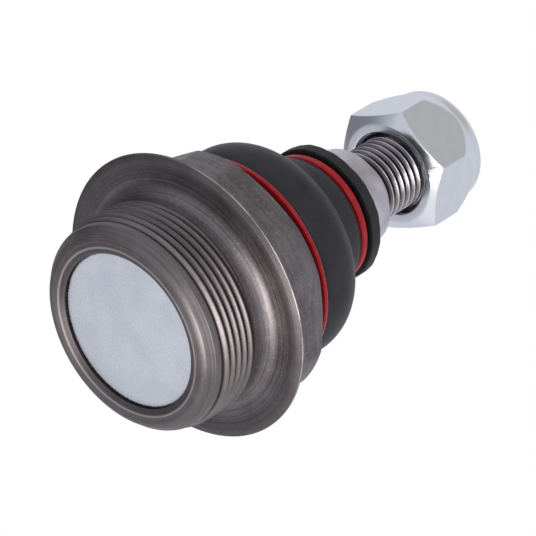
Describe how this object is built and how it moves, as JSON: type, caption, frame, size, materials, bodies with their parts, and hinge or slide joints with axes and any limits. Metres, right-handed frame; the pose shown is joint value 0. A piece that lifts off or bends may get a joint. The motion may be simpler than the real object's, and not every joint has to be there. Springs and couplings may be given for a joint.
{
  "type": "suspension ball joint",
  "caption": "Screw-in suspension ball joint: threaded steel housing with seat flange and wrench flats, rubber dust boot with red band clips, and a tapered stud with a lock nut.",
  "frame": {"origin": "centre of the rolled rim's end plane, on the joint's axis; the joint stands on that rim", "axes": "+Z along the axis from the closed end to the stud's tip; +X through a corner of the wrench section"},
  "size_m": [0.0536, 0.0536, 0.0855],
  "materials": {
    "housing_steel": "turned and phosphated, satin",
    "cap_zinc": "matte zinc plate",
    "spring_steel": "blued",
    "bearing_polymer": "moulded acetal",
    "stud_steel": "ground",
    "boot_rubber": "moulded, satin",
    "clip_red": "red lacquered flat wire",
    "nut_zinc": "bright zinc plate",
    "insert_nylon": "moulded nylon"
  },
  "bodies": {
    "housing": {"housing": "housing_steel", "end_cap": "cap_zinc", "disc_spring": "spring_steel", "lower_bearing": "bearing_polymer", "upper_bearing": "bearing_polymer", "large_clip": "clip_red"},
    "boot": {"dust_boot": "boot_rubber"},
    "neck_clip": {"small_clip": "clip_red"},
    "stud": {"ball_stud": "stud_steel"},
    "nut_ring": {"nut_insert": "insert_nylon"},
    "nut": {"lock_nut": "nut_zinc"}
  },
  "joints": [
    {"name": "tilt_x", "type": "hinge", "parent": "housing", "child": "boot", "pos_m": [0, 0, 0.02075], "axis": [1, 0, 0], "range_deg": [-16, 16], "deforming": ["dust_boot"]},
    {"name": "tilt_y", "type": "hinge", "parent": "boot", "child": "neck_clip", "pos_m": [0, 0, 0.02075], "axis": [0, 1, 0], "range_deg": [-16, 16], "deforming": ["dust_boot"]},
    {"name": "stud_spin", "type": "hinge", "parent": "neck_clip", "child": "stud", "pos_m": [0, 0, 0.02075], "axis": [0, 0, 1], "continuous": true},
    {"name": "nut_travel", "type": "slide", "parent": "stud", "child": "nut_ring", "axis": [0, 0, 1], "range_m": [-0.00825, 0.003]},
    {"name": "nut_turn", "type": "hinge", "parent": "nut_ring", "child": "nut", "pos_m": [0, 0, 0.0705], "axis": [0, 0, 1], "range_deg": [-1985, 725]}
  ],
  "couplings": [
    {"joint": "nut_turn", "follows": "nut_travel", "rad_per_m": 4188.8}
  ]
}
